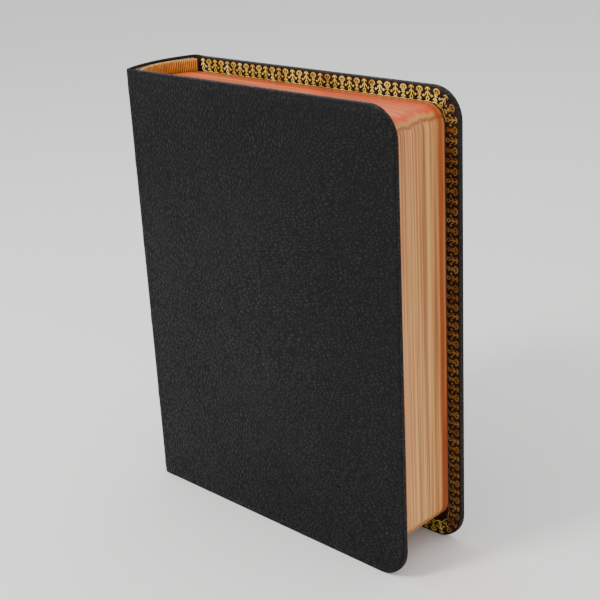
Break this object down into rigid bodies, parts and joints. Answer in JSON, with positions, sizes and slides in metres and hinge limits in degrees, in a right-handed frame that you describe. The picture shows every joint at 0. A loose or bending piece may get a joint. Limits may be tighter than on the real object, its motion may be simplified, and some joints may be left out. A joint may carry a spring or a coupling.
{
  "type": "bible",
  "caption": "Leather-bound Bible with a rounded, banded spine, gold-tooled turn-ins and red-and-gold page edges; covers, leaves and gatherings turn.",
  "frame": {"origin": "under the middle of the closed book, on the surface that it stands on", "axes": "+X from the spine to the fore-edge, -Y out of the front cover, +Z from tail to head"},
  "size_m": [0.1898, 0.05, 0.2402],
  "materials": {
    "cover_leather": "black pebble-grain goat leather, satin",
    "board": "grey millboard",
    "spine_card": "grey card",
    "endpaper": "cream endpaper, matt",
    "page_paper": "thin paper with red-under-gold edges",
    "headband_thread": "gold and amber striped thread",
    "linen": "unbleached linen"
  },
  "bodies": {
    "root": {"spine_leather": "cover_leather", "spine_card": "spine_card", "raised_band_1": "spine_card", "raised_band_2": "spine_card", "raised_band_3": "spine_card", "raised_band_4": "spine_card", "raised_band_5": "spine_card", "raised_band_6": "spine_card", "headband": "headband_thread", "tailband": "headband_thread", "spine_lining": "linen", "sewing_tape_1": "linen", "sewing_tape_2": "linen", "sewing_tape_3": "linen", "sewing_tape_4": "linen", "gathering_05": "page_paper", "gathering_06": "page_paper", "gathering_07": "page_paper", "gathering_08": "page_paper", "gathering_09": "page_paper", "gathering_10": "page_paper", "gathering_11": "page_paper", "gathering_12": "page_paper"},
    "front_cover": {"front_cover_leather": "cover_leather", "front_board": "board", "front_pastedown": "endpaper"},
    "gathering_01_body": {"gathering_01": "page_paper"},
    "gathering_02_body": {"gathering_02": "page_paper"},
    "gathering_03_body": {"gathering_03": "page_paper"},
    "gathering_04_body": {"gathering_04": "page_paper"},
    "front_leaf_2_body": {"front_leaf_2": "endpaper"},
    "front_leaf_1_body": {"front_leaf_1": "endpaper"},
    "front_flyleaf_body": {"front_flyleaf": "endpaper"},
    "back_cover": {"back_cover_leather": "cover_leather", "back_board": "board", "back_pastedown": "endpaper"},
    "gathering_16_body": {"gathering_16": "page_paper"},
    "gathering_15_body": {"gathering_15": "page_paper"},
    "gathering_14_body": {"gathering_14": "page_paper"},
    "gathering_13_body": {"gathering_13": "page_paper"},
    "back_leaf_2_body": {"back_leaf_2": "endpaper"},
    "back_leaf_1_body": {"back_leaf_1": "endpaper"},
    "back_flyleaf_body": {"back_flyleaf": "endpaper"}
  },
  "joints": [
    {"name": "front_cover_hinge", "type": "hinge", "parent": "root", "child": "front_cover", "pos_m": [-0.08115, -0.025, 0], "axis": [0, 0, 1], "range_deg": [-170, 0]},
    {"name": "gathering_01_turn", "type": "hinge", "parent": "root", "child": "gathering_01_body", "pos_m": [-0.08125, -0.01884, 0], "axis": [0, 0, 1], "range_deg": [-12.01, 0]},
    {"name": "gathering_02_turn", "type": "hinge", "parent": "root", "child": "gathering_02_body", "pos_m": [-0.08313, -0.01633, 0], "axis": [0, 0, 1], "range_deg": [-9.01, 0]},
    {"name": "gathering_03_turn", "type": "hinge", "parent": "root", "child": "gathering_03_body", "pos_m": [-0.08463, -0.01382, 0], "axis": [0, 0, 1], "range_deg": [-6.01, 0]},
    {"name": "gathering_04_turn", "type": "hinge", "parent": "root", "child": "gathering_04_body", "pos_m": [-0.08582, -0.01131, 0], "axis": [0, 0, 1], "range_deg": [-3, 0]},
    {"name": "front_leaf_2_turn", "type": "hinge", "parent": "gathering_01_body", "child": "front_leaf_2_body", "pos_m": [-0.07775, -0.0204, 0], "axis": [0, 0, 1], "range_deg": [-24.02, 0]},
    {"name": "front_leaf_1_turn", "type": "hinge", "parent": "gathering_01_body", "child": "front_leaf_1_body", "pos_m": [-0.07835, -0.02085, 0], "axis": [0, 0, 1], "range_deg": [-46.05, 0]},
    {"name": "front_flyleaf_turn", "type": "hinge", "parent": "gathering_01_body", "child": "front_flyleaf_body", "pos_m": [-0.07895, -0.0213, 0], "axis": [0, 0, 1], "range_deg": [-68.07, 0]},
    {"name": "back_cover_hinge", "type": "hinge", "parent": "root", "child": "back_cover", "pos_m": [-0.08115, 0.025, 0], "axis": [0, 0, 1], "range_deg": [0, 170]},
    {"name": "gathering_16_turn", "type": "hinge", "parent": "root", "child": "gathering_16_body", "pos_m": [-0.08125, 0.01884, 0], "axis": [0, 0, 1], "range_deg": [0, 12.01]},
    {"name": "gathering_15_turn", "type": "hinge", "parent": "root", "child": "gathering_15_body", "pos_m": [-0.08313, 0.01633, 0], "axis": [0, 0, 1], "range_deg": [0, 9.01]},
    {"name": "gathering_14_turn", "type": "hinge", "parent": "root", "child": "gathering_14_body", "pos_m": [-0.08463, 0.01382, 0], "axis": [0, 0, 1], "range_deg": [0, 6.01]},
    {"name": "gathering_13_turn", "type": "hinge", "parent": "root", "child": "gathering_13_body", "pos_m": [-0.08582, 0.01131, 0], "axis": [0, 0, 1], "range_deg": [0, 3]},
    {"name": "back_leaf_2_turn", "type": "hinge", "parent": "gathering_16_body", "child": "back_leaf_2_body", "pos_m": [-0.07775, 0.0204, 0], "axis": [0, 0, 1], "range_deg": [0, 24.02]},
    {"name": "back_leaf_1_turn", "type": "hinge", "parent": "gathering_16_body", "child": "back_leaf_1_body", "pos_m": [-0.07835, 0.02085, 0], "axis": [0, 0, 1], "range_deg": [0, 46.05]},
    {"name": "back_flyleaf_turn", "type": "hinge", "parent": "gathering_16_body", "child": "back_flyleaf_body", "pos_m": [-0.07895, 0.0213, 0], "axis": [0, 0, 1], "range_deg": [0, 68.07]}
  ],
  "couplings": [
    {"joint": "gathering_01_turn", "follows": "front_cover_hinge", "ratio": 0.070588},
    {"joint": "gathering_02_turn", "follows": "front_cover_hinge", "ratio": 0.052941},
    {"joint": "gathering_03_turn", "follows": "front_cover_hinge", "ratio": 0.035294},
    {"joint": "gathering_04_turn", "follows": "front_cover_hinge", "ratio": 0.017647},
    {"joint": "front_leaf_2_turn", "follows": "front_cover_hinge", "ratio": 0.14118},
    {"joint": "front_leaf_1_turn", "follows": "front_cover_hinge", "ratio": 0.27059},
    {"joint": "front_flyleaf_turn", "follows": "front_cover_hinge", "ratio": 0.4},
    {"joint": "gathering_16_turn", "follows": "back_cover_hinge", "ratio": 0.070588},
    {"joint": "gathering_15_turn", "follows": "back_cover_hinge", "ratio": 0.052941},
    {"joint": "gathering_14_turn", "follows": "back_cover_hinge", "ratio": 0.035294},
    {"joint": "gathering_13_turn", "follows": "back_cover_hinge", "ratio": 0.017647},
    {"joint": "back_leaf_2_turn", "follows": "back_cover_hinge", "ratio": 0.14118},
    {"joint": "back_leaf_1_turn", "follows": "back_cover_hinge", "ratio": 0.27059},
    {"joint": "back_flyleaf_turn", "follows": "back_cover_hinge", "ratio": 0.4}
  ]
}
